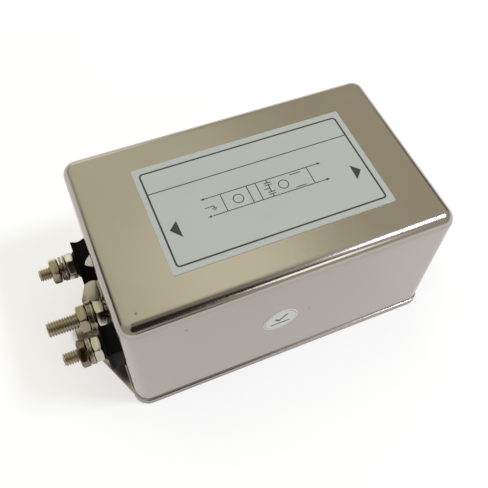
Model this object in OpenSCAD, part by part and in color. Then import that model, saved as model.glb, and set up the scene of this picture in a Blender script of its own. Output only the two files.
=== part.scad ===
// Power line filter: a drawn steel can on a flanged base plate, with screw terminals at both ends.
// The origin is on the underside of the base plate, midway between the two mounting slots.
// +X runs from the line end to the load end, +Y to the live side, and +Z is up. Millimetres.

/* [Can] */
// Outside length of the can
can_l = 93.6; // [85:0.1:110]
// Outside width of the can
can_w = 57.5; // [52:0.1:70]
// Height of the can above the base plate
can_h = 45.1; // [43:0.1:60]
// Thickness of the drawn sheet
can_wall = 0.8; // [0.5:0.1:1.2]
// Outside radius of the upright corners
corner_r = 4; // [3.8:0.1:7]
// Outside radius round the top edge
top_r = 3.6; // [2:0.1:3.8]
// How far the bottom rim stands out from the wall
rim_out = 0.45; // [0.2:0.05:1]
// Height of the bottom rim
rim_h = 1.1; // [0.6:0.1:2]

/* [Base plate] */
// Thickness of the base plate
base_t = 1; // [0.6:0.1:2]
// How far each mounting tab reaches out from the can
tab_reach = 11.2; // [9.5:0.1:14]
// Half the width of a tab where it leaves the can
tab_root_half = 26; // [20:0.1:26.5]
// How far the sloped shoulder of a tab reaches out from the can
shoulder_reach = 6.6; // [5:0.1:8]
// Half the width of the shoulder at its outer end
shoulder_half = 10.4; // [8:0.1:14]
// Half the width of the nose of a tab
nose_half = 7.2; // [5:0.1:7.8]
// Radius of the corners of the nose
nose_r = 2.2; // [0.5:0.1:4]
// How far the middle of a mounting slot lies out from the can
slot_out = 4.7; // [4.1:0.1:7]
// Width of a mounting slot
slot_w = 4.4; // [3.2:0.1:5.5]
// End to end length of a mounting slot
slot_l = 6; // [5.6:0.1:7]

/* [Terminals] */
// Outside diameter of the live and neutral studs
stud_d = 3.9; // [3:0.1:4]
// Distance of a live or neutral stud from the middle of the can
stud_y = 14.3; // [12:0.1:17]
// Height of the live and neutral studs above the base plate
stud_z = 14.8; // [12:0.1:24]
// How far a live or neutral stud reaches out from the can
stud_reach = 15.5; // [14:0.1:20]
// Width across flats of the terminal nuts
nut_af = 7; // [6:0.1:8]
// Thickness of the terminal nuts and lock nuts
nut_t = 2.6; // [1.6:0.1:3.2]
// Outside diameter of the terminal plain washers
washer_d = 7.8; // [7:0.1:8.2]
// Thickness of the terminal plain washers
washer_t = 0.6; // [0.4:0.1:1]
// Outside diameter of the terminal spring washers
spring_d = 7.6; // [6.6:0.1:8]
// Thickness of the terminal spring washers
spring_t = 0.7; // [0.5:0.1:1.2]
// Gap that keeps the relaxed live spring washer open at the line end
relaxed_gap = 0.7; // [0:0.1:1.2]

/* [Ground terminal] */
// Outside diameter of the ground stud
ground_d = 4.8; // [3:0.1:5]
// Height of the ground stud above the base plate
ground_z = 7.6; // [6.6:0.1:8.5]
// How far the ground stud reaches out from the can
ground_reach = 18.2; // [14:0.1:24]
// Width across flats of the ground nuts
ground_af = 8; // [7:0.1:8.2]
// Thickness of the ground nuts
ground_nut_t = 3; // [2:0.1:3.5]
// Outside diameter of the ground plain washer
ground_washer_d = 9.8; // [8:0.1:10.2]
// Thickness of the ground plain washer
ground_washer_t = 0.8; // [0.5:0.1:1.2]
// Outside diameter of the ground spring washer
ground_spring_d = 9.2; // [7.5:0.1:10]
// Thickness of the ground spring washer
ground_spring_t = 1.2; // [0.8:0.1:1.4]
// Thickness of the toothed washer at the wall
tooth_t = 0.9; // [0.4:0.1:1.2]

/* [Insulating blocks] */
// Width of a block
block_w = 9.8; // [8.4:0.1:11]
// How far the middle of a block lies outward from its stud
block_out = 0.5; // [0:0.1:0.7]
// Height of a block
block_h = 10.4; // [9:0.1:13]
// How far a block stands out from the can
block_t = 4.2; // [2.5:0.1:4.5]
// How far the middle of a block lies under its stud
block_drop = 0.5; // [0:0.1:0.8]
// Depth of the waist round a block
waist_depth = 0.35; // [0.1:0.05:0.6]
// Width of the plain rim on each side of the waist
waist_rim = 0.35; // [0.2:0.05:0.8]
// Diameter of the raised seat on the front of a block
seat_d = 8; // [7.4:0.1:8.4]
// Height of the raised seat
seat_t = 0.5; // [0.3:0.1:0.8]
// Diameter of the spigot that goes through the can
spigot_d = 6.8; // [5.6:0.1:7.4]

/* [Label and sticker] */
// Length of the rating label
label_l = 62.9; // [40:0.1:74]
// Width of the rating label
label_w = 35.1; // [20:0.1:42]
// Distance of the label from the middle of the can towards the load end
label_x = 1.7; // [-4:0.1:4]
// Thickness of the label and the sticker
label_t = 0.12; // [0.05:0.01:0.3]
// Width of the oval inspection sticker
sticker_w = 10.6; // [6:0.1:16]
// Height of the oval inspection sticker
sticker_h = 16.8; // [8:0.1:24]
// Distance of the sticker from the middle of the can towards the line end
sticker_x = 4.9; // [-20:0.1:20]
// Height of the middle of the sticker above the base plate
sticker_z = 22.6; // [18:0.1:26]

/* [Circuit] */
// Thickness of the potting layer under the board
potting_t = 3.4; // [2:0.1:3.4]
// Thickness of the circuit board
board_t = 1.6; // [1:0.1:2]
// Distance from each end of the circuit board to the end of the can
board_end_gap = 6.3; // [6:0.1:8]
// Distance from each side of the circuit board to the side of the can
board_side_gap = 3.75; // [3:0.05:4]
// Outside diameter of a choke core
core_d = 27; // [24:0.1:28]
// Bore of a choke core
core_bore = 15; // [12:0.1:16]
// Thickness of a choke core
core_t = 9; // [7:0.1:10]
// Diameter of the enamelled wire of a choke
wire_d = 1.6; // [1:0.1:1.8]
// Length of an X capacitor across the board
xcap_l = 26.5; // [20:0.1:27]
// Height of an X capacitor
xcap_h = 19; // [12:0.1:24]
// Thickness of an X capacitor
xcap_t = 8.5; // [5:0.1:9]
// Diameter of a Y capacitor
ycap_d = 8; // [6:0.1:9]
// Thickness of a Y capacitor
ycap_t = 3.6; // [2:0.1:4]
// Diameter of a rod choke over its winding
rod_choke_d = 9; // [7:0.1:10]
// Height of a rod choke
rod_choke_h = 14; // [10:0.1:18]
// Outside diameter of the insulated hook-up wires
lead_d = 1.8; // [1.2:0.1:2]

/* [Hidden] */
$fn = 96;
cut = 1;
seat_gap = 0.05;
thread_gap = 0.05;
fit_gap = 0.1;
washer_gap = 0.15;
base_overhang = 0.1;
chamfer_share = 0.94;
countersink = 0.35;
corner_clear = 0.2;
stud_tip = 0.5;
stud_tip_depth = 0.45;
seat_edge = 0.3;
rim_round = 0.35;
split_w = 0.7;
split_angle = 20;
tooth_count = 12;
tooth_notch = 0.8;
tooth_depth = 0.9;
label_corner = 0.6;
oval_points = 60;
insulator_t = 1.2;
insulator_d = 10;
spigot_extra = 0.8;
tag_t = 0.5;
tag_tail_w = 2.6;
tag_tail = 7;
head_t = 2.2;
board_l = can_l - 2 * board_end_gap;
board_w = can_w - 2 * board_side_gap;
potting_margin = 0.5;
potting_l = board_l + 2 * potting_margin;
potting_w = board_w + 2 * potting_margin;
winding_angle = 130;
winding_gap = 0.05;
mount_t = 1.5;
mount_share = 0.45;
mount_l = core_d * mount_share;
mount_w = core_t + 2 * wire_d;
saddle_w = 10;
xcap_inset = 7.5;
xcap_x = board_l / 2 - xcap_inset;
choke_inset = 2;
choke_x = xcap_x / 2 - choke_inset;
choke_side = choke_x + core_t / 2 + wire_d + winding_gap;
small_part_x = (choke_side + xcap_x - xcap_t / 2) / 2;
ycap_leg_d = 0.6;
ycap_leg = 2;
edge_gap = 1.5;
ycap_y = board_w / 2 - ycap_d / 2 - edge_gap;
rod_gap = 0.8;
rod_x = choke_side + rod_choke_d / 2 + rod_gap;
rod_y = board_w / 2 - rod_choke_d / 2 - edge_gap;
resistor_d = 3.4;
resistor_l = 9;
lead_bend_r = 2.4;
lead_drop = 1.1;
lead_in = 1.6;
ground_lead_drop = 1.4;
slot_half = can_l / 2 + slot_out;
board_z = base_t + potting_t;
board_top = board_z + board_t;
can_top = base_t + can_h;
choke_z = board_top + mount_t + core_d / 2;
LINE = -1;
LOAD = 1;
LIVE = 1;
NEUTRAL = -1;

// How far each nut is turned about its stud, from a corner pointing up at the line end
line_live_turn = 17.7;
line_neutral_turn = -1;
ground_turn = 25.6;
load_live_turn = 8;
load_neutral_turn = 41;
line_live_lock_turn = 48.5;
line_neutral_lock_turn = 28.8;
ground_lock_turn = 20.6;
load_live_lock_turn = 22;
load_neutral_lock_turn = 5;

// Where each piece of a live or neutral terminal starts, measured out from the can wall
lock_at = block_t + seat_t;
washer_at = lock_at + nut_t + seat_gap;
spring_at = washer_at + washer_t;
nut_at = spring_at + spring_t + seat_gap;

// The same for the ground terminal
ground_lock_at = tooth_t;
ground_washer_at = ground_lock_at + ground_nut_t + seat_gap;
ground_spring_at = ground_washer_at + ground_washer_t;
ground_nut_at = ground_spring_at + ground_spring_t + seat_gap;

// Rounded rectangle centred on the origin
module round_rect(l, w, r) {
    square([l, w - 2 * r], center = true);
    square([l - 2 * r, w], center = true);
    for (sx = [-1, 1], sy = [-1, 1])
        translate([sx * (l / 2 - r), sy * (w / 2 - r)]) circle(r);
}

// Side view of a drawn box: square at the bottom, rounded at both top corners
module drawn_profile(l, h, r) {
    translate([-l / 2, 0]) square([l, h - r]);
    translate([-l / 2 + r, 0]) square([l - 2 * r, h]);
    for (s = [-1, 1]) translate([s * (l / 2 - r), h - r]) circle(r);
}

// Solid box with round upright corners and a round top edge, standing on z = 0
module drawn_box(l, w, h, rc, rt) {
    rotate([90, 0, 0]) linear_extrude(w - 2 * rc, center = true) drawn_profile(l, h, rt);
    rotate([90, 0, 90]) linear_extrude(l - 2 * rc, center = true) drawn_profile(w, h, rt);
    for (sx = [-1, 1], sy = [-1, 1])
        translate([sx * (l / 2 - rc), sy * (w / 2 - rc), 0])
            rotate_extrude() {
                square([rc, h - rt]);
                square([rc - rt, h]);
                translate([rc - rt, h - rt]) intersection() {
                    circle(rt);
                    square(rt);
                }
            }
}

// Section of the bottom rim, outward from the wall
module rim_section() {
    square([rim_out, rim_h - rim_round]);
    square([rim_out - rim_round, rim_h]);
    translate([rim_out - rim_round, rim_h - rim_round]) intersection() {
        circle(rim_round);
        square(rim_round);
    }
}

// Rim round the foot of the can
module rim() {
    for (s = [0, 1]) {
        mirror([s, 0, 0]) translate([can_l / 2, can_w / 2 - corner_r, 0])
            rotate([90, 0, 0]) linear_extrude(can_w - 2 * corner_r) rim_section();
        mirror([0, s, 0]) translate([-can_l / 2 + corner_r, can_w / 2, 0])
            rotate([90, 0, 90]) linear_extrude(can_l - 2 * corner_r) rim_section();
    }
    for (a = [0, 1], b = [0, 1])
        mirror([a, 0, 0]) mirror([0, b, 0])
            translate([can_l / 2 - corner_r, can_w / 2 - corner_r, 0])
                rotate_extrude(angle = 90) translate([corner_r, 0]) rim_section();
}

// Puts a piece on a stud's axis: local z points out of the can, z = 0 on the can's end wall
module at_terminal(end, y, z) {
    translate([end * can_l / 2, y, base_t + z]) rotate([0, end * 90, 0]) children();
}

module at_block(end, side) {
    at_terminal(end, side * stud_y, stud_z) children();
}

module at_ground() {
    at_terminal(LINE, 0, ground_z) children();
}

// Hexagon nut standing on z = 0, chamfered on both faces and countersunk at both ends of its bore
module hex_nut(af, t, bore, turn) {
    corner = af / 2 / cos(30);
    face = af / 2 * chamfer_share;
    outer = corner + corner_clear;
    lift = (outer - face) * tan(30);
    difference() {
        intersection() {
            rotate(turn) cylinder(r = corner, h = t, $fn = 6);
            rotate_extrude()
                polygon([[0, 0], [face, 0], [outer, lift], [outer, t - lift], [face, t], [0, t]]);
        }
        translate([0, 0, -cut]) cylinder(d = bore, h = t + 2 * cut);
        for (s = [0, 1]) translate([0, 0, s * t]) mirror([0, 0, s])
            translate([0, 0, -countersink])
                cylinder(d1 = bore + 4 * countersink, d2 = bore - 2 * countersink, h = 3 * countersink);
    }
}

module washer(d, bore, t) {
    difference() {
        cylinder(d = d, h = t);
        translate([0, 0, -cut]) cylinder(d = bore, h = t + 2 * cut);
    }
}

// Spring washer, split across its ring by a slanted cut
module spring_washer(d, bore, t, turn) {
    difference() {
        washer(d, bore, t);
        rotate(turn) translate([d / 4, 0, t / 2]) rotate([split_angle, 0, 0])
            cube([d, split_w, 4 * t], center = true);
    }
}

// Threaded stud, drawn at its outside diameter with a tapered tip; the root end lies at z = -root
module stud(d, root, reach) {
    translate([0, 0, -root]) cylinder(d = d, h = root + reach - stud_tip);
    translate([0, 0, reach - stud_tip]) cylinder(d1 = d, d2 = d - 2 * stud_tip_depth, h = stud_tip);
}

// Stud with its hexagon head inside the can, which clamps what lies between head and wall
module headed_stud(d, af, inside, reach) {
    stud(d, inside, reach);
    translate([0, 0, -inside - head_t]) hex_nut_blank(af, head_t);
}

module hex_nut_blank(af, t) {
    cylinder(r = af / 2 / cos(30), h = t, $fn = 6);
}

// Moulded block with a waist, a raised round seat and a spigot through the can wall
module block(end, side) {
    chord = block_t - 2 * waist_rim;
    waist_r = (chord * chord / 4 + waist_depth * waist_depth) / (2 * waist_depth);
    at_block(end, side) difference() {
        union() {
            difference() {
                translate([end * block_drop, side * block_out, block_t / 2])
                    cube([block_h, block_w, block_t], center = true);
                translate([end * block_drop, side * block_out, block_t / 2]) for (s = [-1, 1]) {
                    translate([s * (block_h / 2 + waist_r - waist_depth), 0, 0])
                        rotate([90, 0, 0]) cylinder(r = waist_r, h = block_w + 2 * cut, center = true);
                    translate([0, s * (block_w / 2 + waist_r - waist_depth), 0])
                        rotate([0, 90, 0]) cylinder(r = waist_r, h = block_h + 2 * cut, center = true);
                }
            }
            translate([0, 0, block_t]) cylinder(d1 = seat_d, d2 = seat_d - 2 * seat_edge, h = seat_t);
            translate([0, 0, -can_wall - spigot_extra])
                cylinder(d = spigot_d, h = can_wall + spigot_extra + cut);
        }
        translate([0, 0, -can_wall - spigot_extra - cut])
            cylinder(d = stud_d + 2 * fit_gap, h = block_t + can_wall + spigot_extra + seat_t + 2 * cut);
    }
}

// Ring with a straight tail, to which a wire is soldered
module solder_tag(bore, tail_turn) {
    difference() {
        union() {
            cylinder(d = washer_d, h = tag_t);
            rotate(tail_turn) translate([0, -tag_tail_w / 2, 0]) cube([tag_tail, tag_tail_w, tag_t]);
        }
        translate([0, 0, -cut]) cylinder(d = bore, h = tag_t + 2 * cut);
    }
}

// Insulated wire from a tag inwards over the board, and down to it
module tag_wire(end, y, z, from_x) {
    leg_x = board_l / 2 - lead_in;
    run = from_x - leg_x - lead_bend_r;
    translate([end * leg_x, y, 0]) rotate([0, 0, end > 0 ? 0 : 180]) {
        translate([lead_bend_r, 0, z]) rotate([0, 90, 0]) cylinder(d = lead_d, h = run);
        translate([lead_bend_r, 0, z - lead_bend_r]) rotate([90, 0, 0])
            rotate([0, 0, 90]) rotate_extrude(angle = 90) translate([lead_bend_r, 0]) circle(d = lead_d);
        translate([0, 0, board_top]) cylinder(d = lead_d, h = z - lead_bend_r - board_top);
    }
}

// Shell of the can: one drawn piece with a hole for each spigot and for the ground stud
module can() {
    color([0.74, 0.72, 0.66]) difference() {
        union() {
            translate([0, 0, base_t]) drawn_box(can_l, can_w, can_h, corner_r, top_r);
            translate([0, 0, base_t]) rim();
        }
        translate([0, 0, base_t - cut])
            drawn_box(can_l - 2 * can_wall, can_w - 2 * can_wall, can_h - can_wall + cut,
                      corner_r - can_wall, top_r - can_wall);
        for (end = [LINE, LOAD], side = [LIVE, NEUTRAL])
            at_block(end, side) cylinder(d = spigot_d + 2 * fit_gap, h = 4 * can_wall, center = true);
        at_ground() cylinder(d = ground_d + 2 * fit_gap, h = 4 * can_wall, center = true);
    }
}

// Outline of one mounting tab, out from the can's end wall
module tab_outline() {
    polygon([[-corner_r, -tab_root_half], [0, -tab_root_half], [shoulder_reach, -shoulder_half],
             [shoulder_reach, shoulder_half], [0, tab_root_half], [-corner_r, tab_root_half]]);
    translate([(tab_reach - corner_r) / 2, 0]) round_rect(tab_reach + corner_r, 2 * nose_half, nose_r);
}

module base_plate() {
    color([0.78, 0.77, 0.73]) difference() {
        linear_extrude(base_t) {
            round_rect(can_l + 2 * rim_out + 2 * base_overhang, can_w + 2 * rim_out + 2 * base_overhang,
                       corner_r + rim_out + base_overhang);
            for (s = [0, 1]) mirror([s, 0]) translate([can_l / 2, 0]) tab_outline();
        }
        for (s = [-1, 1]) translate([s * slot_half, 0, -cut]) {
            for (t = [-1, 1]) translate([t * (slot_l - slot_w) / 2, 0, 0])
                cylinder(d = slot_w, h = base_t + 2 * cut);
            translate([-(slot_l - slot_w) / 2, -slot_w / 2, 0])
                cube([slot_l - slot_w, slot_w, base_t + 2 * cut]);
        }
    }
}

module rating_label() {
    color([0.80, 0.83, 0.80]) translate([label_x, 0, can_top])
        linear_extrude(label_t) round_rect(label_l, label_w, label_corner);
}

module inspection_sticker() {
    color([0.92, 0.91, 0.88]) translate([-sticker_x, -can_w / 2, base_t + sticker_z])
        rotate([90, 0, 0]) linear_extrude(label_t)
            polygon([for (i = [1:oval_points])
                let (a = 360 * i / oval_points) [sticker_w / 2 * cos(a), sticker_h / 2 * sin(a)]]);
}

module terminal_block(end, side) {
    color([0.07, 0.06, 0.07]) block(end, side);
}

module terminal_stud(end, side) {
    color([0.66, 0.60, 0.52]) at_block(end, side)
        headed_stud(stud_d, nut_af, can_wall + insulator_t + tag_t, stud_reach);
}

module ground_stud() {
    color([0.70, 0.64, 0.50]) at_ground() headed_stud(ground_d, ground_af, can_wall + tag_t, ground_reach);
}

module lock_nut(end, side, turn) {
    color([0.74, 0.72, 0.60]) at_block(end, side) translate([0, 0, lock_at])
        hex_nut(nut_af, nut_t, stud_d + 2 * thread_gap, turn);
}

module ground_lock_nut() {
    color([0.74, 0.72, 0.60]) at_ground() translate([0, 0, ground_lock_at])
        hex_nut(ground_af, ground_nut_t, ground_d + 2 * thread_gap, ground_lock_turn);
}

module ground_tooth_washer() {
    color([0.60, 0.58, 0.55]) at_ground() difference() {
        washer(ground_washer_d, ground_d + 2 * washer_gap, tooth_t);
        for (i = [1:tooth_count]) rotate(360 * i / tooth_count)
            translate([ground_washer_d / 2, 0, tooth_t / 2])
                cube([2 * tooth_depth, tooth_notch, tooth_t + 2 * cut], center = true);
    }
}

module plain_washer(end, side, shift) {
    color([0.68, 0.62, 0.55]) at_block(end, side) translate([0, 0, washer_at + shift])
        washer(washer_d, stud_d + 2 * washer_gap, washer_t);
}

module split_washer(end, side, shift, turn) {
    color([0.60, 0.52, 0.46]) at_block(end, side) translate([0, 0, spring_at])
        spring_washer(spring_d, stud_d + 2 * washer_gap, spring_t + shift, turn);
}

module terminal_nut(end, side, shift, turn) {
    color([0.70, 0.62, 0.50]) at_block(end, side) translate([0, 0, nut_at + shift])
        hex_nut(nut_af, nut_t, stud_d + 2 * thread_gap, turn);
}

module ground_washer() {
    color([0.70, 0.66, 0.56]) at_ground() translate([0, 0, ground_washer_at])
        washer(ground_washer_d, ground_d + 2 * washer_gap, ground_washer_t);
}

module ground_spring_washer() {
    color([0.60, 0.55, 0.48]) at_ground() translate([0, 0, ground_spring_at])
        spring_washer(ground_spring_d, ground_d + 2 * washer_gap, ground_spring_t, ground_turn);
}

module ground_nut() {
    color([0.62, 0.58, 0.40]) at_ground() translate([0, 0, ground_nut_at])
        hex_nut(ground_af, ground_nut_t, ground_d + 2 * thread_gap, ground_turn);
}

// Rings over the spigots on the inner side of the wall
module inner_insulators() {
    color([0.10, 0.10, 0.10]) for (end = [LINE, LOAD], side = [LIVE, NEUTRAL])
        at_block(end, side) translate([0, 0, -can_wall - insulator_t])
            difference() {
                cylinder(d = insulator_d, h = insulator_t);
                translate([0, 0, -cut]) cylinder(d = stud_d + 2 * fit_gap, h = insulator_t + 2 * cut);
                translate([0, 0, insulator_t - spigot_extra])
                    cylinder(d = spigot_d + 2 * fit_gap, h = spigot_extra + cut);
            }
}

module solder_tags() {
    color([0.80, 0.78, 0.70]) {
        for (end = [LINE, LOAD], side = [LIVE, NEUTRAL])
            at_block(end, side) translate([0, 0, -can_wall - insulator_t - tag_t])
                solder_tag(stud_d + 2 * fit_gap, end > 0 ? 0 : 180);
        at_ground() translate([0, 0, -can_wall - tag_t]) solder_tag(ground_d + 2 * fit_gap, 0);
    }
}

module potting_layer() {
    color([0.16, 0.14, 0.12]) translate([0, 0, base_t + potting_t / 2])
        cube([potting_l, potting_w, potting_t], center = true);
}

module circuit_board() {
    color([0.30, 0.42, 0.22]) translate([0, 0, board_z + board_t / 2])
        cube([board_l, board_w, board_t], center = true);
}

// Foot of each choke, with a saddle that carries the core between its two windings
module choke_mounts() {
    color([0.85, 0.84, 0.80]) for (s = [-1, 1]) translate([s * choke_x, 0, 0]) difference() {
        translate([0, 0, board_top]) {
            translate([-mount_w / 2, -mount_l / 2, 0]) cube([mount_w, mount_l, mount_t]);
            translate([-core_t / 2, -saddle_w / 2, 0]) cube([core_t, saddle_w, 2 * mount_t]);
        }
        translate([0, 0, choke_z]) rotate([0, 90, 0])
            cylinder(d = core_d, h = mount_w + 2 * cut, center = true);
    }
}

module choke_core(s) {
    color([0.18, 0.18, 0.19]) translate([s * choke_x, 0, choke_z]) rotate([0, 90, 0]) difference() {
        cylinder(d = core_d, h = core_t, center = true);
        cylinder(d = core_bore, h = core_t + 2 * cut, center = true);
    }
}

// One winding: a band of wire all round the core's section, over part of its ring
module choke_winding(s, side) {
    inner = core_bore / 2 - wire_d - winding_gap;
    outer = core_d / 2 + wire_d + winding_gap;
    deep = core_t + 2 * wire_d + 2 * winding_gap;
    color([0.62, 0.30, 0.12]) translate([s * choke_x, 0, choke_z]) rotate([0, 90, 0])
        rotate([0, 0, side * 90 - winding_angle / 2]) rotate_extrude(angle = winding_angle) difference() {
            translate([inner, -deep / 2]) square([outer - inner, deep]);
            translate([inner + wire_d, -deep / 2 + wire_d])
                square([outer - inner - 2 * wire_d, deep - 2 * wire_d]);
        }
}

module x_capacitor(x) {
    color([0.78, 0.66, 0.20]) translate([x, 0, board_top + xcap_h / 2])
        cube([xcap_t, xcap_l, xcap_h], center = true);
}

module y_capacitor(side) {
    color([0.20, 0.38, 0.66]) translate([small_part_x, side * ycap_y, board_top]) {
        translate([0, 0, ycap_leg + ycap_d / 2]) rotate([0, 90, 0])
            cylinder(d = ycap_d, h = ycap_t, center = true);
        for (s = [-1, 1]) translate([0, s * ycap_d / 4, 0])
            cylinder(d = ycap_leg_d, h = ycap_leg + ycap_d / 4);
    }
}

module rod_choke(side) {
    color([0.60, 0.28, 0.12]) translate([-rod_x, side * rod_y, board_top])
        cylinder(d = rod_choke_d, h = rod_choke_h);
}

module bleeder_resistor() {
    color([0.55, 0.68, 0.72]) translate([small_part_x, 0, board_top + resistor_d / 2]) rotate([90, 0, 0])
        cylinder(d = resistor_d, h = resistor_l, center = true);
}

module tag_wires(end) {
    color([0.75, 0.10, 0.08]) for (side = [LIVE, NEUTRAL])
        tag_wire(end, side * stud_y, base_t + stud_z - tag_tail + lead_drop,
                 can_l / 2 - can_wall - insulator_t - tag_t);
}

module ground_wire() {
    color([0.45, 0.62, 0.15])
        tag_wire(LINE, 0, base_t + ground_z + tag_tail - ground_lead_drop, can_l / 2 - can_wall - tag_t);
}

can();
base_plate();
rating_label();
inspection_sticker();
terminal_block(LINE, LIVE);  // line_live_block
terminal_block(LINE, NEUTRAL);  // line_neutral_block
terminal_block(LOAD, LIVE);  // load_live_block
terminal_block(LOAD, NEUTRAL);  // load_neutral_block
terminal_stud(LINE, LIVE);  // line_live_stud
terminal_stud(LINE, NEUTRAL);  // line_neutral_stud
terminal_stud(LOAD, LIVE);  // load_live_stud
terminal_stud(LOAD, NEUTRAL);  // load_neutral_stud
ground_stud();
lock_nut(LINE, LIVE, line_live_lock_turn);  // line_live_lock_nut
lock_nut(LINE, NEUTRAL, line_neutral_lock_turn);  // line_neutral_lock_nut
lock_nut(LOAD, LIVE, load_live_lock_turn);  // load_live_lock_nut
lock_nut(LOAD, NEUTRAL, load_neutral_lock_turn);  // load_neutral_lock_nut
ground_lock_nut();
ground_tooth_washer();
plain_washer(LINE, LIVE, 0);  // line_live_washer
plain_washer(LINE, NEUTRAL, 0);  // line_neutral_washer
plain_washer(LOAD, LIVE, 0);  // load_live_washer
plain_washer(LOAD, NEUTRAL, 0);  // load_neutral_washer
ground_washer();
split_washer(LINE, LIVE, relaxed_gap, line_live_turn);  // line_live_spring_washer
split_washer(LINE, NEUTRAL, 0, line_neutral_turn);  // line_neutral_spring_washer
split_washer(LOAD, LIVE, 0, load_live_turn);  // load_live_spring_washer
split_washer(LOAD, NEUTRAL, 0, load_neutral_turn);  // load_neutral_spring_washer
ground_spring_washer();
terminal_nut(LINE, LIVE, relaxed_gap, line_live_turn);  // line_live_nut
terminal_nut(LINE, NEUTRAL, 0, line_neutral_turn);  // line_neutral_nut
terminal_nut(LOAD, LIVE, 0, load_live_turn);  // load_live_nut
terminal_nut(LOAD, NEUTRAL, 0, load_neutral_turn);  // load_neutral_nut
ground_nut();
inner_insulators();
solder_tags();
potting_layer();
circuit_board();
choke_mounts();
choke_core(-1);  // choke_1_core
choke_winding(-1, LIVE);  // choke_1_live_winding
choke_winding(-1, NEUTRAL);  // choke_1_neutral_winding
choke_core(1);  // choke_2_core
choke_winding(1, LIVE);  // choke_2_live_winding
choke_winding(1, NEUTRAL);  // choke_2_neutral_winding
x_capacitor(-xcap_x);  // line_x_capacitor
x_capacitor(0);  // middle_x_capacitor
x_capacitor(xcap_x);  // load_x_capacitor
y_capacitor(LIVE);  // live_y_capacitor
y_capacitor(NEUTRAL);  // neutral_y_capacitor
rod_choke(LIVE);  // live_rod_choke
rod_choke(NEUTRAL);  // neutral_rod_choke
bleeder_resistor();
tag_wires(LINE);  // line_wires
tag_wires(LOAD);  // load_wires
ground_wire();
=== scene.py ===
import math

import bmesh
import bpy
from mathutils import Matrix, Vector


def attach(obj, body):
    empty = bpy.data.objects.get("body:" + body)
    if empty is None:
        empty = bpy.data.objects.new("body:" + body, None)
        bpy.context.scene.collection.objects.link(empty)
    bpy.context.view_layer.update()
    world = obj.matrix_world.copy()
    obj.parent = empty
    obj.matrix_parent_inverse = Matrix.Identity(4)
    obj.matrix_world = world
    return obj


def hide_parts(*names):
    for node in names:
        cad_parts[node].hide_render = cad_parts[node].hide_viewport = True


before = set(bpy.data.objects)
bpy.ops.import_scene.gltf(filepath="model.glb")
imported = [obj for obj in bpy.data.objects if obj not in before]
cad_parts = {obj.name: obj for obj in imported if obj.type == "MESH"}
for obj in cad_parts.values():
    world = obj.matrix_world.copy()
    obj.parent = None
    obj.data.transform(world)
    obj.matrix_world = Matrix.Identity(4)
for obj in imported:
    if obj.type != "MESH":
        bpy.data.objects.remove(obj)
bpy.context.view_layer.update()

# Shapes and the camera's place are in mm and turned to metres by MM. Light and materials are in metres.
MM = 0.001

# ends of the can along x, toward the line and toward the load
LINE, LOAD = -1, 1

# can, plate under it, and the height that label and sticker stand out of the can
CAN_L, CAN_W, CAN_TOP = 93.6, 57.5, 46.1
CAN_WALL, CORNER_R, TOP_R = 0.8, 4.0, 3.6
BASE_T = 1.0
FILM_T = 0.12

# rim at the can's foot: how far it stands out, its height, its rounding, its lower edge, and the fillet above it
RIM_OUT, RIM_H, RIM_R, RIM_EDGE = 0.52, 1.15, 0.48, 0.12
FILLET_OUT, FILLET_H = 0.10, 0.25

# terminals of the two wires; every "at" and "reach" is measured out from the end wall
STUD_Y, STUD_Z = 14.3, 15.8
STUD_D, STUD_PITCH, STUD_REACH = 3.9, 0.7, 15.5
HEAD_AT = -2.5
BLOCK_T, BLOCK_HALF_H, BLOCK_HALF_W, SEAT_T = 4.2, 5.2, 4.9, 0.5
BLOCK_DROP, BLOCK_OUT = 0.5, 0.5       # the block's middle lies this far below its stud and away from the can's middle
NUT_AF, NUT_T, NUT_BORE = 7.0, 2.6, 4.0
LOCK_AT, WASHER_AT, SPRING_AT, NUT_AT = 4.7, 7.35, 7.95, 8.7
WASHER_D, WASHER_BORE, WASHER_T = 7.8, 4.2, 0.6
SPRING_D, SPRING_T, SPRING_RISE = 7.6, 0.68, 0.02
TERMINALS = {
    "line_live": (LINE, STUD_Y), "line_neutral": (LINE, -STUD_Y),
    "load_live": (LOAD, STUD_Y), "load_neutral": (LOAD, -STUD_Y),
}
# the nut of the line live stud stands one turn further out, and its spring washer is open by as much
SHIFT = {"line_live": 0.7}
# how each hexagon is turned about its stud, in degrees
NUT_TURN = {"line_live": 17.7, "line_neutral": -1, "load_live": 8, "load_neutral": 41}
LOCK_TURN = {"line_live": 48.5, "line_neutral": 28.8, "load_live": 22, "load_neutral": 5}

# ground terminal
GROUND_Z, GROUND_D, GROUND_PITCH, GROUND_REACH, GROUND_HEAD_AT = 8.6, 4.8, 0.8, 18.2, -1.3
GROUND_AF, GROUND_NUT_T, GROUND_BORE = 8, 3, 4.9
GROUND_LOCK_AT, GROUND_WASHER_AT, GROUND_SPRING_AT, GROUND_NUT_AT = 0.9, 3.95, 4.75, 6.0
GROUND_WASHER_D, GROUND_WASHER_BORE, GROUND_WASHER_T = 9.8, 5.1, 0.8
GROUND_SPRING_D, GROUND_SPRING_T, GROUND_SPRING_RISE, GROUND_SPRING_TURN = 9.2, 1.16, 0.03, 210
GROUND_LOCK_TURN, GROUND_NUT_TURN = 34, 25.6

# ---------------------------------------------------------------- camera, fitted to the can's edges in the photo
IMAGE_PX, FOCAL_PX, CENTRE_PX = 488, 636.9, (244.4, 243.9)
CAMERA_AT = (-48.2 * MM, -93.9 * MM, 181.5 * MM)
SENSOR = 36
look = Vector((0.2370, 0.4882, -0.8399)).normalized()
right = Vector((0.9204, -0.3895, 0.0333))
right = (right - look * right.dot(look)).normalized()
up = right.cross(look)

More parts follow.
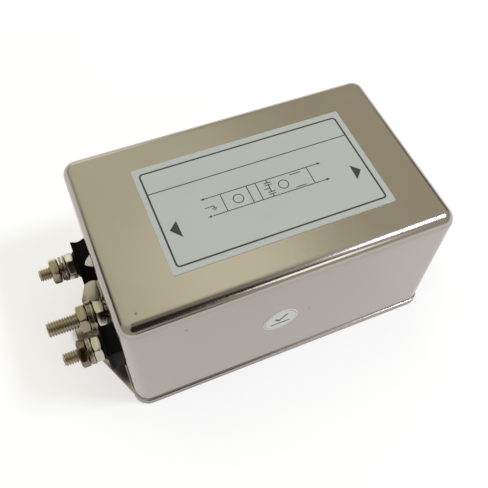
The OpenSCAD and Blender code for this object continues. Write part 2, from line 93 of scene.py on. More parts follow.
cam_data = bpy.data.cameras.new("camera")
cam = bpy.data.objects.new("camera", cam_data)
bpy.context.scene.collection.objects.link(cam)
cam.matrix_world = Matrix((
    (right.x, up.x, -look.x, CAMERA_AT[0]),
    (right.y, up.y, -look.y, CAMERA_AT[1]),
    (right.z, up.z, -look.z, CAMERA_AT[2]),
    (0, 0, 0, 1)))
cam_data.sensor_width = SENSOR
cam_data.lens = SENSOR * FOCAL_PX / IMAGE_PX
cam_data.shift_x = (IMAGE_PX / 2 - CENTRE_PX[0]) / IMAGE_PX
cam_data.shift_y = (CENTRE_PX[1] - IMAGE_PX / 2) / IMAGE_PX
cam_data.clip_start = 0.01
cam_data.clip_end = 20
bpy.context.scene.camera = cam
bpy.context.scene.view_settings.view_transform = "Standard"


# ---------------------------------------------------------------- materials
def principled(name, base, rough, metallic=0.0, specular=0.5, coat=0.0):
    """A new material, its node tree and its shader."""
    mat = bpy.data.materials.new(name)
    mat.use_nodes = True
    b = mat.node_tree.nodes["Principled BSDF"]
    for socket, value in {
        "Base Color": (*base, 1), "Metallic": metallic, "Roughness": rough, "IOR": 1.5,
        "Specular IOR Level": specular, "Coat Weight": coat, "Coat Roughness": 0.1,
    }.items():
        b.inputs[socket].default_value = value
    return mat, mat.node_tree, b


def srgb(r, g, b):
    """The linear colour of an sRGB one, all from 0 to 1."""
    def lin(c):
        return c / 12.92 if c <= 0.04045 else ((c + 0.055) / 1.055) ** 2.4
    return (lin(r), lin(g), lin(b))


def map_range(nt, value, from_min, from_max, to_min=0.0, to_max=1.0, kind="SMOOTHSTEP"):
    """A value carried from one range to another."""
    node = nt.nodes.new("ShaderNodeMapRange")
    node.interpolation_type = kind
    node.inputs["From Min"].default_value = from_min
    node.inputs["From Max"].default_value = from_max
    node.inputs["To Min"].default_value = to_min
    node.inputs["To Max"].default_value = to_max
    nt.links.new(value, node.inputs["Value"])
    return node.outputs["Result"]


def distance(nt, coord, point):
    """How far the object's own coordinate lies from a fixed point."""
    node = nt.nodes.new("ShaderNodeVectorMath")
    node.operation = "DISTANCE"
    node.inputs[1].default_value = point
    nt.links.new(coord.outputs["Object"], node.inputs[0])
    return node.outputs["Value"]


def mixed(nt, factor, color):
    """A mix node toward a colour by a factor; its input A is left for the caller."""
    node = nt.nodes.new("ShaderNodeMix")
    node.data_type = "RGBA"
    nt.links.new(factor, node.inputs["Factor"])
    node.inputs["B"].default_value = (*color, 1)
    return node


def noise(nt, scale, detail):
    coord = nt.nodes.new("ShaderNodeTexCoord")
    tex = nt.nodes.new("ShaderNodeTexNoise")
    tex.inputs["Scale"].default_value = scale
    tex.inputs["Detail"].default_value = detail
    tex.inputs["Roughness"].default_value = 0.55
    nt.links.new(coord.outputs["Object"], tex.inputs["Vector"])
    return tex


def vary_color(nt, b, base, spread, tex):
    """Base colour that strays from its mean by a share of it."""
    ramp = nt.nodes.new("ShaderNodeValToRGB")
    dark, light = ramp.color_ramp.elements
    dark.position = 0.3
    light.position = 0.7
    dark.color = (*[c * (1 - spread) for c in base], 1)
    light.color = (*[min(1, c * (1 + spread)) for c in base], 1)
    nt.links.new(tex.outputs["Fac"], ramp.inputs["Fac"])
    nt.links.new(ramp.outputs["Color"], b.inputs["Base Color"])


def vary_rough(nt, b, low, high, tex):
    nt.links.new(map_range(nt, tex.outputs["Fac"], 0.3, 0.7, low, high, "LINEAR"), b.inputs["Roughness"])


def bump(nt, b, tex, strength, distance, chain=None):
    """Bump on the shader's normal, on top of an earlier bump if one is given."""
    node = nt.nodes.new("ShaderNodeBump")
    node.inputs["Strength"].default_value = strength
    node.inputs["Distance"].default_value = distance
    nt.links.new(tex.outputs["Fac"], node.inputs["Height"])
    if chain:
        nt.links.new(chain.outputs["Normal"], node.inputs["Normal"])
    nt.links.new(node.outputs["Normal"], b.inputs["Normal"])
    return node


def metal(name, base, rough, grain=2200, soft=55, bump_soft=0.0, bump_fine=0.15, spread=0.05, wobble=0.05):
    """Bare metal: cloudy colour and gloss, a fine grain, and on sheet a slow wave."""
    mat, nt, b = principled(name, base, rough, metallic=1.0)
    cloud = noise(nt, soft, 4)
    fine = noise(nt, grain, 2)
    vary_color(nt, b, base, spread, cloud)
    vary_rough(nt, b, max(0.03, rough - wobble), rough + wobble, cloud)
    chain = bump(nt, b, fine, bump_fine, 0.00002)
    if bump_soft:
        bump(nt, b, noise(nt, 30, 0), bump_soft, 0.0006, chain)
    return mat


def plain(name, base, rough, grain=1500, spread=0.06, bump_fine=0.2, coat=0.0, specular=0.5):
    """Plastic, paper, lacquer and the like."""
    mat, nt, b = principled(name, base, rough, coat=coat, specular=specular)
    fine = noise(nt, grain, 3)
    vary_color(nt, b, base, spread, noise(nt, 90, 3))
    vary_rough(nt, b, max(0.03, rough - 0.05), rough + 0.07, fine)
    bump(nt, b, fine, bump_fine, 0.00003)
    return mat


M = {
    # outside
    "can": metal("can_steel", (0.39, 0.350, 0.318), 0.17, grain=700, bump_soft=0.06, bump_fine=0.5,
                 spread=0.02, wobble=0.03),
    "plate": metal("plate_steel", (0.41, 0.37, 0.33), 0.28, bump_soft=0.08, spread=0.03),
    "stud": metal("stud_plating", (0.44, 0.385, 0.29), 0.20, soft=400),
    "lock": metal("lock_nut_plating", (0.47, 0.44, 0.36), 0.18, soft=300),
    "washer": metal("washer_plating", (0.33, 0.29, 0.23), 0.24, soft=300),
    "spring": metal("spring_washer_plating", (0.26, 0.21, 0.165), 0.26, soft=300),
    "nut": metal("nut_plating", (0.30, 0.25, 0.18), 0.18, soft=300),
    # painted shade: a darker copy of the nut plating, used for the near line nut
    "nut_painted_shade": metal("nut_plating_painted_shade", (0.16, 0.115, 0.08), 0.22, soft=300),
    "block": plain("block_plastic", (0.0055, 0.0048, 0.0055), 0.32, spread=0.2, bump_fine=0.1, specular=0.03),
    "label": plain("label_film", srgb(0.698, 0.714, 0.707), 0.38, grain=900, spread=0.012, bump_fine=0.05),
    "ink": plain("label_ink", (0.030, 0.034, 0.031), 0.42, spread=0.3),
    "sticker": plain("sticker_paper", srgb(0.955, 0.955, 0.95), 0.45, spread=0.02, bump_fine=0.08),
    "sticker_print": plain("sticker_ink", (0.10, 0.105, 0.095), 0.5, spread=0.3),
    # painted reflection: a light grey patch standing for the can wall's glint in the glossy top of the line live block
    "painted_wall_reflection": plain("painted_wall_reflection", srgb(0.92, 0.91, 0.90), 0.45, grain=700, spread=0.1, bump_fine=0.5),
    # inside
    "tag": metal("tag_metal", (0.62, 0.60, 0.54), 0.30, soft=200),
    "copper": metal("enamelled_wire", (0.45, 0.12, 0.03), 0.30, soft=500, spread=0.15),
    "insulator": plain("insulator_plastic", (0.02, 0.02, 0.02), 0.5),
    "resin": plain("potting_resin", (0.03, 0.025, 0.02), 0.35, grain=400),
    "board": plain("board_laminate", (0.035, 0.10, 0.02), 0.35, coat=0.3),
    "mould": plain("mount_plastic", (0.62, 0.60, 0.54), 0.5),
    "ferrite": plain("core_ferrite", (0.02, 0.02, 0.022), 0.55, spread=0.2),
    "film": plain("film_capacitor", (0.55, 0.36, 0.03), 0.3, coat=0.2),
    "disc": plain("disc_capacitor", (0.03, 0.10, 0.34), 0.25, coat=0.4),
    "resistor": plain("resistor_body", (0.24, 0.40, 0.46), 0.3, coat=0.3),
    "sleeve": plain("wire_sleeve", (0.45, 0.012, 0.008), 0.4),
    "ground_sleeve": plain("ground_wire_sleeve", (0.14, 0.32, 0.02), 0.4),
}


def specks(mat, points, radius):
    """Small dark specks of the surface at fixed places, in metres."""
    nt = mat.node_tree
    b = nt.nodes["Principled BSDF"]
    coord = nt.nodes.new("ShaderNodeTexCoord")
    for point in points:
        dot = map_range(nt, distance(nt, coord, point), radius * 1.2, radius * 0.4)
        mix = mixed(nt, dot, (0.23, 0.195, 0.17))
        nt.links.new(b.inputs["Base Color"].links[0].from_socket, mix.inputs["A"])
        nt.links.new(mix.outputs["Result"], b.inputs["Base Color"])


specks(M["can"], [(-0.0413, -0.0237, 0.0461), (-0.0309, -0.02875, 0.0385), (0.0046, -0.02875, 0.0247)], 0.00045)


# ---------------------------------------------------------------- mesh helpers: a part is its points and its faces
def make(name, part, body, look_key, node=None, angle=35):
    """A closed piece that rides on a body, smooth where its faces meet below the angle."""
    verts, faces = part
    mesh = bpy.data.meshes.new(name)
    mesh.from_pydata([(x * MM, y * MM, z * MM) for x, y, z in verts], [], faces)
    bm = bmesh.new()
    bm.from_mesh(mesh)
    bmesh.ops.remove_doubles(bm, verts=bm.verts, dist=1e-7)
    bmesh.ops.recalc_face_normals(bm, faces=bm.faces)
    bm.to_mesh(mesh)
    bm.free()
    obj = bpy.data.objects.new(name, mesh)
    bpy.context.scene.collection.objects.link(obj)
    mesh.shade_smooth()
    mesh.set_sharp_from_angle(angle=math.radians(angle))
    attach(obj, body)
    if node:
        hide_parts(node)
    mesh.materials.append(M[look_key])


def bands(rings, loop=False):
    """Faces between rings of equal point counts, and from the last ring to the first in a loop."""
    verts, faces = [], []
    n = len(rings[0])
    for ring in rings:
        verts += list(ring)
    pairs = [(i, i + 1) for i in range(len(rings) - 1)] + ([(len(rings) - 1, 0)] if loop else [])
    for a, b in pairs:
        for k in range(n):
            j = (k + 1) % n
            faces.append((a * n + k, a * n + j, b * n + j, b * n + k))
    return verts, faces


def capped(rings):
    """Bands with both ends closed."""
    verts, faces = bands(rings)
    n = len(rings[0])
    faces.append(tuple(range(n - 1, -1, -1)))
    faces.append(tuple((len(rings) - 1) * n + k for k in range(n)))
    return verts, faces


def joined(*parts):
    verts, faces = [], []
    for v, f in parts:
        base = len(verts)
        verts += list(v)
        faces += [tuple(base + i for i in face) for face in f]
    return verts, faces


def arc(steps, first=0):
    """Angles of a quarter turn in even steps."""
    return [math.radians(90 * i / steps) for i in range(first, steps + 1)]


def round_rect(hx, hy, r, n):
    """Outline of a rectangle of half sizes hx and hy, with n steps at each rounded corner."""
    pts = []
    corners = ((hx - r, hy - r, 0), (-hx + r, hy - r, 90), (-hx + r, -hy + r, 180), (hx - r, -hy + r, 270))
    for cx, cy, a0 in corners:
        for i in range(n + 1):
            a = math.radians(a0 + 90 * i / n)
            pts.append((cx + r * math.cos(a), cy + r * math.sin(a)))
    return pts


def circle(cx, cy, r, n=28):
    return [(cx + r * math.cos(2 * math.pi * i / n), cy + r * math.sin(2 * math.pi * i / n)) for i in range(n)]


def on_stud(end, y, z):
    """Maps (lx, ly, t) about a stud to the row frame: lx up at the line end and down at the load end, t outward."""
    return lambda lx, ly, t: (end * (CAN_L / 2 + t), y + ly, z - end * lx)


def polar(place, r, a, t):
    return place(r * math.cos(a), r * math.sin(a), t)


def ring_at(place, r, t, n):
    """n points of a circle around a stud."""
    return [polar(place, r, 2 * math.pi * i / n, t) for i in range(n)]


def ring_solid(place, profile, n):
    """A solid of revolution around a stud, its profile a loop of (radius, t)."""
    return bands([ring_at(place, r, t, n) for r, t in profile], loop=True)


def hex_radius(af):
    """Corner radius of a hexagon of that width across flats."""
    return af / 2 / math.cos(math.radians(30))


# ---------------------------------------------------------------- can
def can_ring(inset, z):
    """The can's outline at one height, drawn in by the inset."""
    corner_r = max(CORNER_R - inset, 0.35)
    return [(x, y, z) for x, y in round_rect(CAN_L / 2 - inset, CAN_W / 2 - inset, corner_r, 10)]


# up the rim, its fillet, the wall and over the top edge
outer = [can_ring(CAN_WALL, BASE_T), can_ring(-RIM_OUT + RIM_EDGE, BASE_T),
         can_ring(-RIM_OUT, BASE_T + RIM_EDGE), can_ring(-RIM_OUT, BASE_T + RIM_H - RIM_R)]
outer += [can_ring(-RIM_OUT + RIM_R * (1 - math.cos(a)), BASE_T + RIM_H - RIM_R + RIM_R * math.sin(a))
          for a in arc(5, 1)]
outer += [can_ring(-FILLET_OUT * (1 - math.sin(a)), BASE_T + RIM_H + FILLET_H * (1 - math.cos(a)))
          for a in arc(4, 1)]
outer += [can_ring(0, z) for z in (4, 8, 13, 18, 24, 30, 36, 40)]
outer += [can_ring(TOP_R * (1 - math.cos(a)), CAN_TOP - TOP_R + TOP_R * math.sin(a)) for a in arc(12)]
# and down inside
inner_r = TOP_R - CAN_WALL
inner = [can_ring(CAN_WALL + inner_r * (1 - math.cos(a)), CAN_TOP - TOP_R + inner_r * math.sin(a))
         for a in reversed(arc(12))]
inner.append(can_ring(CAN_WALL, BASE_T))

count = len(outer[0])
outside, inside = bands(outer), bands(inner)
outside[1].append(tuple((len(outer) - 1) * count + k for k in range(count)))
inside[1].append(tuple(range(count)))
make("can_shell", joined(outside, inside), "filter", "can", node="can", angle=50)

# ---------------------------------------------------------------- base plate: the CAD plate with soft edges
plate_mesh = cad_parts["base_plate"].data.copy()
plate_mesh.name = "base_plate_pressing"
bm = bmesh.new()
bm.from_mesh(plate_mesh)
bmesh.ops.remove_doubles(bm, verts=bm.verts, dist=1e-6)
bmesh.ops.dissolve_limit(bm, angle_limit=math.radians(1.0), verts=bm.verts, edges=bm.edges)
bm.to_mesh(plate_mesh)
bm.free()
plate = bpy.data.objects.new("base_plate_pressing", plate_mesh)
bpy.context.scene.collection.objects.link(plate)
plate_mesh.shade_smooth()
bevel = plate.modifiers.new("bevel", "BEVEL")
bevel.width = 0.14 * MM
bevel.segments = 2
bevel.limit_method = "ANGLE"
bevel.angle_limit = math.radians(30)
bevel.harden_normals = True
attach(plate, "filter")
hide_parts("base_plate")
plate_mesh.materials.clear()
plate_mesh.materials.append(M["plate"])


# ---------------------------------------------------------------- insulating blocks
def block_mesh(end, y):
    """A block with waisted sides between two rims, a round seat on its front and a spigot through the can."""
    place = on_stud(end, y, STUD_Z)
    drop = end * BLOCK_DROP
    out = math.copysign(BLOCK_OUT, y)
    corner_r, rim, waist = 0.55, 0.35, 0.35
    chord = BLOCK_T - 2 * rim
    waist_r = (chord * chord / 4 + waist * waist) / (2 * waist)

    def ring(t, inset=0.0):
        w = 0.0
        if rim < t < BLOCK_T - rim:
            w = math.sqrt(waist_r * waist_r - (t - BLOCK_T / 2) ** 2) - (waist_r - waist)
        pts = round_rect(BLOCK_HALF_H - w - inset, BLOCK_HALF_W - w - inset, corner_r - min(inset, 0.2), 5)
        return [place(px + drop, py + out, t) for px, py in pts]

    steps = [(0, 0.0), (rim, 0.0)]
    steps += [(rim + chord * i / 14, 0.0) for i in range(1, 14)]
    steps += [(BLOCK_T - rim, 0.0), (BLOCK_T - 0.12, 0.0), (BLOCK_T - 0.035, 0.035), (BLOCK_T, 0.12)]
    body = capped([ring(t, inset) for t, inset in steps])

    seat_r, edge = 4.0, 0.3
    seat = [(seat_r + 0.25, BLOCK_T - 0.1), (seat_r + 0.1, BLOCK_T + 0.02), (seat_r, BLOCK_T + 0.12)]
    seat += [(seat_r - edge + edge * math.cos(math.radians(a)), BLOCK_T + 0.2 + edge * math.sin(math.radians(a)))
             for a in (20, 45, 70, 90)]
    seat += [(2.1, BLOCK_T + SEAT_T), (2.1, BLOCK_T - 0.1)]
    spigot = [(3.4, -1.6), (3.4, 0.3), (2.05, 0.3), (2.05, -1.6)]
    return joined(body, ring_solid(place, seat, 72), ring_solid(place, spigot, 48))


for name, (end, y) in TERMINALS.items():
    make(name + "_block_moulding", block_mesh(end, y), "filter", "block",
         node=name + "_block", angle=40)


# ---------------------------------------------------------------- studs with real threads
def stud_mesh(end, y, z, d, af, head_at, thread_from, reach, pitch):
    """A threaded shank up to its pointed tip, and its hexagonal head inside the can."""
    place = on_stud(end, y, z)
    r = d / 2
    head_t, thread_depth, n = 2.2, 0.40, 40
    tip, tip_cut = 0.5, 0.45

    def thread_r(t, a):
        u = (t / pitch - a / (2 * math.pi)) % 1.0
        w = abs(2 * u - 1)
        cut = min(max((w - 0.14) / 0.60, 0.0), 1.0)
        return r - thread_depth * cut

    def limit(t):
        return r if t < reach - tip else r - tip_cut * (t - reach + tip) / tip

    rings = [ring_at(place, r - 0.03, head_at, n), ring_at(place, r - 0.03, thread_from - 0.1, n)]
    steps = int((reach - thread_from) / (pitch / 10))
    for k in range(steps + 1):
        t = thread_from + (reach - thread_from) * k / steps
        rings.append([polar(place, min(thread_r(t, 2 * math.pi * i / n), limit(t)), 2 * math.pi * i / n, t)
                      for i in range(n)])
    head = [ring_at(place, hex_radius(af) * share, t, 6)
            for share, t in ((0.9, head_at - head_t), (1.0, head_at - head_t + 0.3), (1.0, head_at))]
    return joined(capped(rings), capped(head))


for name, (end, y) in TERMINALS.items():
    part = stud_mesh(end, y, STUD_Z, STUD_D, NUT_AF, HEAD_AT, BLOCK_T + 0.1, STUD_REACH, STUD_PITCH)
    make(name + "_threaded_stud", part, "filter", "stud", node=name + "_stud", angle=60)
part = stud_mesh(LINE, 0, GROUND_Z, GROUND_D, GROUND_AF, GROUND_HEAD_AT, 0.2, GROUND_REACH, GROUND_PITCH)
make("ground_threaded_stud", part, "filter", "stud", node="ground_stud", angle=60)


# ---------------------------------------------------------------- nuts
def nut_mesh(end, y, z, at, af, t, bore, turn):
    """A hexagon with slightly soft corners, chamfered at both faces, with a countersunk bore."""
    place = on_stud(end, y, z)
    n = 96
    flat_face = af / 2 * 0.94
    soft = hex_radius(af) * 0.985
    softness = 0.02
    slope = math.tan(math.radians(30))
    sink = 0.35

    def hex_r(i):
        flat = (af / 2) / math.cos(math.radians((360.0 * i / n % 60) - 30))
        return -softness * math.log(math.exp(-(flat - soft) / softness) + 1.0) + soft

    def chamfer(i):
        return max((hex_r(i) - flat_face) * slope, 0.03)

    def ring(point):
        pts = []
        for i in range(n):
            r, lift = point(i)
            pts.append(polar(place, r, math.radians(turn + 360.0 * i / n), at + lift))
        return pts

    return bands([
        ring(lambda i: (bore / 2, sink)),
        ring(lambda i: (bore / 2 + sink, 0)),
        ring(lambda i: (flat_face - 0.08, 0)),
        ring(lambda i: (flat_face + 0.04, 0.03)),
        ring(lambda i: (hex_r(i) - 0.02, chamfer(i))),
        ring(lambda i: (hex_r(i), chamfer(i) + 0.05)),
        ring(lambda i: (hex_r(i), t - chamfer(i) - 0.05)),
        ring(lambda i: (hex_r(i) - 0.02, t - chamfer(i))),
        ring(lambda i: (flat_face + 0.04, t - 0.03)),
        ring(lambda i: (flat_face - 0.08, t)),
        ring(lambda i: (bore / 2 + sink, t)),
        ring(lambda i: (bore / 2, t - sink)),
    ], loop=True)


for name, (end, y) in TERMINALS.items():
    part = nut_mesh(end, y, STUD_Z, LOCK_AT, NUT_AF, NUT_T, NUT_BORE, LOCK_TURN[name])
    make(name + "_lock_nut_chamfered", part, "filter", "lock",
         node=name + "_lock_nut", angle=22)
    # the near line nut takes the darker copy of the nut plating, painted shade
    part = nut_mesh(end, y, STUD_Z, NUT_AT + SHIFT.get(name, 0), NUT_AF, NUT_T, NUT_BORE, NUT_TURN[name])
    make(name + "_nut_chamfered", part, name + "_turning_nut",
         "nut_painted_shade" if name == "line_neutral" else "nut", node=name + "_nut", angle=22)
part = nut_mesh(LINE, 0, GROUND_Z, GROUND_LOCK_AT, GROUND_AF, GROUND_NUT_T, GROUND_BORE, GROUND_LOCK_TURN)
make("ground_lock_nut_chamfered", part, "filter", "lock", node="ground_lock_nut", angle=22)
part = nut_mesh(LINE, 0, GROUND_Z, GROUND_NUT_AT, GROUND_AF, GROUND_NUT_T, GROUND_BORE, GROUND_NUT_TURN)
make("ground_nut_chamfered", part, "ground_turning_nut", "nut", node="ground_nut", angle=22)


# ---------------------------------------------------------------- washers
def washer_mesh(end, y, z, at, d, bore, t, edge):
    """A plain washer, bevelled at its bore and soft at its rim."""
    r, b = d / 2, bore / 2
    profile = [(b, at + edge), (b + edge, at), (r - edge, at), (r - edge * 0.3, at + edge * 0.3), (r, at + edge),
               (r, at + t - edge), (r - edge * 0.3, at + t - edge * 0.3), (r - edge, at + t), (b + edge, at + t),
               (b, at + t - edge)]
    return ring_solid(on_stud(end, y, z), profile, 80)


def spring_mesh(end, y, z, at, d, bore, t, rise, turn):
    """One open turn of square wire, its ends parted by a slanted gap."""
    place = on_stud(end, y, z)
    r, b = d / 2, bore / 2
    gap, slant, edge, n = 12, 0.035, 0.07, 90
    loop = [(b, edge), (b + edge, 0), (r - edge, 0), (r, edge),
            (r, t - edge), (r - edge, t), (b + edge, t), (b, t - edge)]
    rings = []
    for i in range(n + 1):
        share = i / n
        a = math.radians(turn + gap / 2 + (360 - gap) * share)
        lift = at + rise * share
        rings.append([polar(place, rr, a + (slant if tt > t / 2 else -slant), lift + tt) for rr, tt in loop])
    return capped(rings)


for name, (end, y) in TERMINALS.items():
    part = washer_mesh(end, y, STUD_Z, WASHER_AT, WASHER_D, WASHER_BORE, WASHER_T, 0.1)
    make(name + "_plain_washer", part, name + "_washers", "washer",
         node=name + "_washer", angle=30)
    part = spring_mesh(end, y, STUD_Z, SPRING_AT, SPRING_D, WASHER_BORE, SPRING_T,
                       SHIFT.get(name, 0) + SPRING_RISE, NUT_TURN[name] + 200)
    make(name + "_split_washer", part, name + "_washers", "spring",
         node=name + "_spring_washer", angle=30)
part = washer_mesh(LINE, 0, GROUND_Z, GROUND_WASHER_AT, GROUND_WASHER_D, GROUND_WASHER_BORE,
                   GROUND_WASHER_T, 0.12)
make("ground_plain_washer", part, "ground_washers", "washer", node="ground_washer", angle=30)
part = spring_mesh(LINE, 0, GROUND_Z, GROUND_SPRING_AT, GROUND_SPRING_D, GROUND_WASHER_BORE,
                   GROUND_SPRING_T, GROUND_SPRING_RISE, GROUND_SPRING_TURN)
make("ground_split_washer", part, "ground_washers", "spring",
     node="ground_spring_washer", angle=30)


def tooth_mesh():
    """The toothed washer on the end wall, each tooth twisted out of its plane."""
    place = on_stud(LINE, 0, GROUND_Z)
    teeth, per_tooth, tooth_share, twist_by = 12, 12, 0.66, 0.38
    bore_r, web_r, outer_r = 2.55, 3.9, 4.85
    low, high = 0.26, 0.64
    rings = []
    for i in range(teeth * per_tooth):
        share = (i % per_tooth) / per_tooth
        on_tooth = share < tooth_share
        a = 2 * math.pi * i / (teeth * per_tooth)
        r = outer_r if on_tooth else web_r
        twist = (share / tooth_share - 0.5) * twist_by if on_tooth else 0.0
        rings.append([polar(place, bore_r, a, low), polar(place, web_r - 0.2, a, low),
                      polar(place, r, a, low + twist), polar(place, r, a, high + twist),
                      polar(place, web_r - 0.2, a, high), polar(place, bore_r, a, high)])
    return bands(rings, loop=True)


make("ground_star_washer", tooth_mesh(), "filter", "washer",
     node="ground_tooth_washer", angle=30)

# ---------------------------------------------------------------- painted reflection on the line live block, beside the wall: a light patch standing for the glint of the can's wall in the block's glossy top
WALL_REFLECTION_OUTLINE = [(13.0, 0.2), (12.4, 0.8), (11.6, 1.5), (10.9, 1.95), (10.3, 2.15), (9.7, 1.6), (9.2, 0.9), (8.8, 0.15)]
wall_x = -CAN_L / 2 + 0.05
block_top = STUD_Z - BLOCK_DROP + BLOCK_HALF_H - 0.05
rings = []
for y, r in WALL_REFLECTION_OUTLINE:
    h = 0.16 + 0.42 * r
    rings.append([(wall_x, y, block_top), (wall_x - r, y, block_top), (wall_x - r * 0.8, y, block_top + h * 0.30),
                  (wall_x - r * 0.45, y, block_top + h * 0.62), (wall_x, y, block_top + h)])
make("wall_reflection_patch", capped(rings), "filter", "painted_wall_reflection", angle=80)

# ---------------------------------------------------------------- label print, on the plane of the label's face
TOP = CAN_TOP + FILM_T
INK_T, INK_SINK = 0.012, 0.01


def stroke(points, width, close=False):
    """A flat printed line through points, mitred at its corners."""
    n = len(points)
    left, rightp = [], []
    for i in range(n):
        p = Vector(points[i])
        before = (p - Vector(points[i - 1])).normalized() if (i > 0 or close) else None
        after = (Vector(points[(i + 1) % n]) - p).normalized() if (i < n - 1 or close) else None
        d1 = before if before is not None else after
        d2 = after if after is not None else before
        n1 = Vector((-d1.y, d1.x))
        n2 = Vector((-d2.y, d2.x))
        m = n1 + n2
        m = m.normalized() if m.length > 1e-6 else n1
        k = width / 2 / max(m.dot(n1), 0.4)
        left.append(p + m * k)
        rightp.append(p - m * k)
    low, high = TOP - INK_SINK, TOP + INK_T
    rings = [[(a.x, a.y, low), (b.x, b.y, low), (b.x, b.y, high), (a.x, a.y, high)] for a, b in zip(left, rightp)]
    return bands(rings, loop=True) if close else capped(rings)


def patch(points):
    """A flat printed area."""
    return capped([[(x, y, TOP - INK_SINK) for x, y in points], [(x, y, TOP + INK_T) for x, y in points]])


HIGH, LOW, THIN = 1.6, -4.3, 0.26      # the diagram's two conductors and its line width
frame_line = [(x + 1.65, y - 0.05) for x, y in round_rect(29.65, 15.45, 0.9, 5)]
ink = [stroke(frame_line, 0.50, close=True), stroke([(-27.9, 8.25), (31.2, 8.25)], 0.30)]
# triangles toward the line and the load
ink.append(patch([(-26.2, -4.6), (-23.6, -7.6), (-23.7, -2.2)]))
ink.append(patch([(29.3, -4.7), (27.0, -2.2), (26.8, -7.4)]))
# conductors, cross lines, coils, and two short marks at the load side
ink.append(stroke([(-14.6, HIGH), (18.9, HIGH)], THIN))
ink.append(stroke([(-14.2, LOW), (18.9, LOW)], THIN))
for x in (-10.0, -2.45, 0.15, 15.5):
    ink.append(stroke([(x, HIGH), (x, LOW)], THIN))
for x in (-5.9, 7.3):
    ink.append(stroke(circle(x, -1.5, 1.4), THIN, close=True))
for x0, x1, y in ((10.0, 13.3, 0.8), (10.0, 13.2, -3.7)):
    ink.append(stroke([(x0, y), (x1, y)], THIN))
# the pair of capacitors to the case
for y0, y1 in ((HIGH, 0.5), (-3.3, LOW), (-0.2, -2.6)):
    ink.append(stroke([(3.3, y0), (3.3, y1)], THIN))
for y in (0.5, -0.2, -2.6, -3.3):
    ink.append(stroke([(2.3, y), (4.3, y)], THIN))
ink.append(stroke([(3.3, -1.4), (1.6, -1.4)], THIN))
# case sign beside the line end, and an arrow head at the end of each conductor
ink.append(stroke([(-15.4, -1.35), (-12.9, -1.35), (-12.9, -2.0)], THIN))
for k, half in enumerate((0.75, 0.5, 0.25)):
    ink.append(stroke([(-12.9 - half, -2.0 - 0.35 * k), (-12.9 + half, -2.0 - 0.35 * k)], 0.18))
for y in (HIGH, LOW):
    ink.append(patch([(-15.6, y), (-14.5, y - 0.42), (-14.5, y + 0.42)]))
    ink.append(patch([(20.0, y), (18.9, y + 0.42), (18.9, y - 0.42)]))
make("label_print", joined(*ink), "filter", "ink", angle=30)

# ---------------------------------------------------------------- sticker
STICKER_X, STICKER_Z, STICKER_W, STICKER_H = -4.2, 24.1, 10.4, 10.0


def on_side(part):
    """Turns a print on the label's plane to the near side, about the middle of the sticker."""
    v, f = part
    return [(STICKER_X + x, -CAN_W / 2 - FILM_T - (z - TOP), STICKER_Z + y) for x, y, z in v], f


def oval(share):
    """The sticker's outline, scaled by a share."""
    return [(x * STICKER_W * share / 2, y * STICKER_H * share / 2) for x, y in circle(0, 0, 1, 72)]


disc = capped([[(x, y, TOP + lift) for x, y in oval(share)]
               for lift, share in ((-FILM_T, 1), (-0.02, 1), (0, 0.997))])
make("sticker_disc", on_side(disc), "filter", "sticker", node="inspection_sticker", angle=40)
# a ring, a tick and a bar
marks = [stroke(oval(0.90), 0.10, close=True), stroke([(-1.7, 1.2), (-0.5, -0.1), (1.9, 2.5)], 0.65),
         stroke([(-2.9, -1.7), (2.9, -1.7)], 0.55)]
make("sticker_print", on_side(joined(*marks)), "filter", "sticker_print", angle=30)

# ---------------------------------------------------------------- nodes that keep their CAD shape
for node, key in {
    "rating_label": "label",
    "inner_insulators": "insulator", "solder_tags": "tag", "potting_layer": "resin", "circuit_board": "board",
    "choke_mounts": "mould", "choke_1_core": "ferrite", "choke_2_core": "ferrite",
    "choke_1_live_winding": "copper", "choke_1_neutral_winding": "copper",
    "choke_2_live_winding": "copper", "choke_2_neutral_winding": "copper",
    "live_rod_choke": "copper", "neutral_rod_choke": "copper",
    "line_x_capacitor": "film", "middle_x_capacitor": "film", "load_x_capacitor": "film",
    "live_y_capacitor": "disc", "neutral_y_capacitor": "disc", "bleeder_resistor": "resistor",
    "line_wires": "sleeve", "load_wires": "sleeve", "ground_wire": "ground_sleeve",
}.items():
    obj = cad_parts[node]
    if not obj.material_slots:
        obj.data.materials.append(M[key])
    for material_slot in obj.material_slots:
        material_slot.material = M[key]

# ---------------------------------------------------------------- floor
FLOOR_HALF = 4
floor_mesh = bpy.data.meshes.new("floor")
floor_mesh.from_pydata([(-FLOOR_HALF, -FLOOR_HALF, 0), (FLOOR_HALF, -FLOOR_HALF, 0),
                        (FLOOR_HALF, FLOOR_HALF, 0), (-FLOOR_HALF, FLOOR_HALF, 0)], [], [(0, 1, 2, 3)])
floor = bpy.data.objects.new("floor", floor_mesh)
bpy.context.scene.collection.objects.link(floor)
floor_mat = bpy.data.materials.new("floor")
floor_mat.use_nodes = True
nt = floor_mat.node_tree
b = nt.nodes["Principled BSDF"]
b.inputs["Base Color"].default_value = (0.46, 0.455, 0.46, 1)
b.inputs["Roughness"].default_value = 0.9
b.inputs["Specular IOR Level"].default_value = 0.1
b.inputs["Emission Color"].default_value = (1, 1, 1, 1)
path = nt.nodes.new("ShaderNodeLightPath")
coord = nt.nodes.new("ShaderNodeTexCoord")


def math_node(kind, first, second):
    node = nt.nodes.new("ShaderNodeMath")
    node.operation = kind
    nt.links.new(first, node.inputs[0])
    nt.links.new(second, node.inputs[1])
    return node.outputs[0]


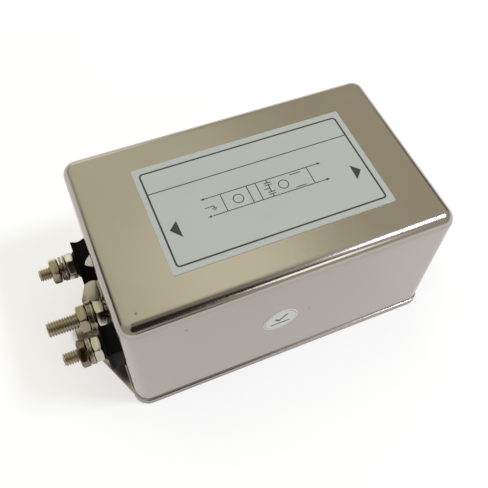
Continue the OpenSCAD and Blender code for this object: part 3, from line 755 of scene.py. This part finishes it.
# the eye, mirrors and glass see the floor as white paper, brighter away from the object; in the line tab's slot it
# stays dark, a painted shade for the shadow the hardware casts on the floor under the slot
SLOT_SHADE_AT = (-0.0515, 0, 0)
seen = math_node("MAXIMUM", path.outputs["Is Camera Ray"], path.outputs["Is Glossy Ray"])
seen = math_node("MAXIMUM", seen, path.outputs["Is Transmission Ray"])
glow = math_node("MULTIPLY", map_range(nt, distance(nt, coord, (0, 0, 0)), 0.12, 0.45, 0.60, 0.85),
                 map_range(nt, distance(nt, coord, SLOT_SHADE_AT), 0.005, 0.009))
nt.links.new(math_node("MULTIPLY", seen, glow), b.inputs["Emission Strength"])
floor_mesh.materials.append(floor_mat)

# ---------------------------------------------------------------- light: one lamp and the room
LAMP_AT, LAMP_AIM = (0.59, -0.27, 0.93), (0, 0, 0.02)
lamp_data = bpy.data.lights.new("key", "AREA")
lamp_data.shape = "RECTANGLE"
lamp_data.size, lamp_data.size_y = 0.22, 0.14
lamp_data.energy = 6.0
lamp_data.color = (0.80, 0.86, 1.0)
lamp = bpy.data.objects.new("key", lamp_data)
lamp.location = LAMP_AT
lamp.rotation_euler = (Vector(LAMP_AIM) - Vector(LAMP_AT)).to_track_quat("-Z", "Y").to_euler()
bpy.context.scene.collection.objects.link(lamp)

world = bpy.data.worlds.new("world")
bpy.context.scene.world = world
world.use_nodes = True
nt = world.node_tree
nt.nodes.clear()
out = nt.nodes.new("ShaderNodeOutputWorld")
coord = nt.nodes.new("ShaderNodeTexCoord")


def spot(direction, inner, outer):
    """1 inside the inner angle from a fixed direction, 0 beyond the outer one, in degrees."""
    dot = nt.nodes.new("ShaderNodeVectorMath")
    dot.operation = "DOT_PRODUCT"
    dot.inputs[1].default_value = Vector(direction).normalized()
    norm = nt.nodes.new("ShaderNodeVectorMath")
    norm.operation = "NORMALIZE"
    nt.links.new(coord.outputs["Generated"], norm.inputs[0])
    nt.links.new(norm.outputs["Vector"], dot.inputs[0])
    return map_range(nt, dot.outputs["Value"], math.cos(math.radians(outer)), math.cos(math.radians(inner)))


def layer(below, color, mask):
    """A colour over the room so far, where the mask is 1."""
    mix = mixed(nt, mask, color)
    if isinstance(below, tuple):
        mix.inputs["A"].default_value = (*below, 1)
    else:
        nt.links.new(below, mix.inputs["A"])
    return mix.outputs["Result"]


# what the metal mirrors, each place over the ones before it: colour, direction, inner and outer angle
ROOM = [
    ((0.95, 0.96, 0.74), (-0.20, 0.50, 0.84), 20, 48),      # khaki ceiling behind the can
    ((1.29, 1.28, 1.03), (0.20, 0.46, 0.86), 3, 13),        # its brightest part
    ((0.68, 0.65, 0.50), (0.66, 0.52, 0.56), 16, 30),       # darker ceiling at the load end
    ((0.33, 0.30, 0.23), (0.08, -0.16, 0.98), 8, 20),       # dim ceiling overhead
    ((0.02, 0.014, 0.010), (-0.03, -0.68, 0.73), 19, 27),   # the dark place where the viewer stands
    ((3.0, 2.95, 2.8), (0.33, -0.77, 0.56), 4, 10),         # lamp beside the viewer
    ((1.5, 1.47, 1.40), (-0.05, 0.94, 0.33), 8, 16),        # window behind the can
    ((0.90, 0.90, 0.90), (0, 0, -1), 94, 101),              # pale backdrop all round, low over the floor
    ((0.06, 0.05, 0.035), (-0.86, 0.48, 0.20), 5, 12),      # three darker things in front of the backdrop
    ((0.24, 0.22, 0.17), (0.91, 0.40, 0.19), 9, 17),
    ((0.05, 0.04, 0.03), (0.07, -0.995, 0.07), 5, 9),
]
sky = (0.58, 0.56, 0.48)
for color, direction, inner_angle, outer_angle in ROOM:
    sky = layer(sky, color, spot(direction, inner_angle, outer_angle))
bg = nt.nodes.new("ShaderNodeBackground")
nt.links.new(sky, bg.inputs["Color"])
bg.inputs["Strength"].default_value = 1.0
nt.links.new(bg.outputs["Background"], out.inputs["Surface"])
